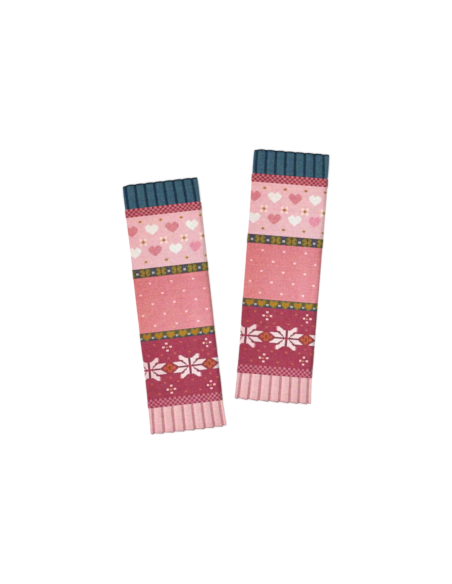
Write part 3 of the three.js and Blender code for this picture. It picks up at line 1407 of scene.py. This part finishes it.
        # each rib's stitches take their painted highlight, and a groove's stitches are mixed towards the
        # painted shade
        knitted = np.tile(rib * rib_light[None, :, None] * (1 - depth) + groove * depth, (rows, 1, 1))
        # painted shade on the row of stitches beside the mouth
        knitted[0 if self.pattern.mouth_at_top else -1] *= self.pattern.rim_shade_tone
        lower = np.linspace(0, 1, rows)[:, None, None]
        return knitted * (1 - lower ** 2 * np.array(self.pattern.deeper))


class Side(Enum):
    """The two leg warmers, each with its turn to the left in degrees."""

    LEFT = 6.49
    RIGHT = -4.49


@dataclass(frozen=True)
class LegWarmer:
    """One leg warmer: its three pieces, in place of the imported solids.

    Attributes:
        side: Which of the two it is.
        middle: The middle of its underside, in metres.
    """

    side: Side
    middle: tuple[float, float]

    def pieces(self) -> dict[str, KnitTube]:
        """Lists its pieces.

        Returns:
            Each piece by the end of its node's name.
        """
        name = self.side.name.lower()
        place = Place(self.middle, self.side.value)
        seed = 10 * (list(Side).index(self.side) + 1)
        return {
            "top_cuff": RibCuff(f"{name}_top_cuff_knit", place, TOP_CUFF, seed, pattern=TOP_RIB),
            "leg": JacquardLeg(f"{name}_leg_knit", place, LEG, seed + 1),
            "bottom_cuff": RibCuff(
                f"{name}_bottom_cuff_knit", place, BOTTOM_CUFF, seed + 2, pattern=BOTTOM_RIB),
        }

    def build(self, finishes: dict[str, bpy.types.Material]) -> None:
        """Builds and declares its pieces.

        Args:
            finishes: The materials by record slot.
        """
        for part, tube in self.pieces().items():
            slot = SLOTS[part]
            made = tube.build(finishes[slot])
            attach(made, "root")
            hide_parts(f"{self.side.name.lower()}_{part}")
            LOG.info("%s: %d faces", made.name, len(made.data.polygons))


SLOTS: dict[str, str] = {"top_cuff": "teal_rib", "leg": "jacquard_knit", "bottom_cuff": "pink_rib"}

FINISHES: dict[str, KnitFinish] = {
    # worsted-spun and firmer than the leg: less fuzz, so its grooves stay dark
    "teal_rib": KnitFinish(
        "teal wool-blend rib knit", sheen=0.08, sheen_tint="#9fc4d6", gloss=0.12),
    "jacquard_knit": KnitFinish("colour-work wool-blend knit"),
    "pink_rib": KnitFinish("pale pink wool-blend rib knit"),
}


@dataclass(frozen=True)
class Stage:
    """A pale floor, soft light from all round and above, and the camera straight overhead.

    Attributes:
        frame_height: Height of the picture on the floor, in metres.
        camera_height: Height of the camera over the floor, in metres.
        sensor: The camera's sensor along the picture's height, in millimetres.
        dome: Strength of the light from all round.
        sun: Strength of the light from above.
        sun_lean: Lean of that light from straight above, to the right and up, in degrees.
        sun_spread: Its angular size, in degrees.
        floor_colour: The floor's sRGB colour.
        floor_size: Its side, in metres.
    """

    frame_height: float = 0.9344
    camera_height: float = 3.0
    sensor: float = 36.0
    dome: float = 0.8
    sun: float = 1.44
    sun_lean: tuple[float, float] = (-12.0, 5.0)
    sun_spread: float = 40.0
    floor_colour: str = "#f7f7f7"
    floor_size: float = 8.0

    def build(self) -> None:
        """Builds the whole stage."""
        self.floor()
        self.light()
        self.camera()
        bpy.context.scene.view_settings.view_transform = "Standard"

    def floor(self) -> None:
        """Lays a pale matt board under the pair."""
        bpy.ops.object.select_all(action="DESELECT")
        bpy.ops.mesh.primitive_plane_add(size=self.floor_size)
        made = bpy.context.object
        made.name = "pale_floor"
        material = bpy.data.materials.new("pale matt board")
        material.use_nodes = True
        shader = material.node_tree.nodes["Principled BSDF"]
        shader.inputs["Base Color"].default_value = (*linear(self.floor_colour), 1.0)
        shader.inputs["Roughness"].default_value = 1.0
        shader.inputs["Specular IOR Level"].default_value = 0.0
        made.data.materials.append(material)

    def light(self) -> None:
        """Lights it with a white dome and a broad soft lamp overhead."""
        world = bpy.data.worlds.new("white dome")
        world.use_nodes = True
        background = world.node_tree.nodes["Background"]
        background.inputs["Color"].default_value = (1.0, 1.0, 1.0, 1.0)
        background.inputs["Strength"].default_value = self.dome
        bpy.context.scene.world = world
        lamp = bpy.data.lights.new("overhead softbox", "SUN")
        lamp.energy = self.sun
        lamp.angle = math.radians(self.sun_spread)
        made = bpy.data.objects.new("overhead softbox", lamp)
        right, up = (math.radians(lean) for lean in self.sun_lean)
        made.rotation_euler = (-up, right, 0.0)
        bpy.context.scene.collection.objects.link(made)

    def camera(self) -> None:
        """Sets the camera straight above, with the picture's top towards the top cuffs."""
        data = bpy.data.cameras.new("overhead camera")
        data.sensor_width = self.sensor
        data.lens = self.sensor * self.camera_height / self.frame_height
        made = bpy.data.objects.new("overhead camera", data)
        made.location = (0.0, 0.0, self.camera_height)
        bpy.context.scene.collection.objects.link(made)
        bpy.context.scene.camera = made


def corners(box: tuple) -> list[list[float]]:
    """Returns a box's two corners as plain lists."""
    return [list(corner) for corner in box]


def main() -> None:
    logging.basicConfig(level=logging.INFO, format="%(name)s: %(message)s")
    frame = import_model()
    mounts = {mount["name"]: mount["pos_m"] for mount in frame["record"]["mounts"]}
    finishes = {slot: finish.material() for slot, finish in FINISHES.items()}
    for side in Side:
        middle = mounts[f"{side.name.lower()}_underside"]
        LegWarmer(side, (middle[0], middle[1])).build(finishes)
    Stage().build()


if __name__ == "__main__":
    main()
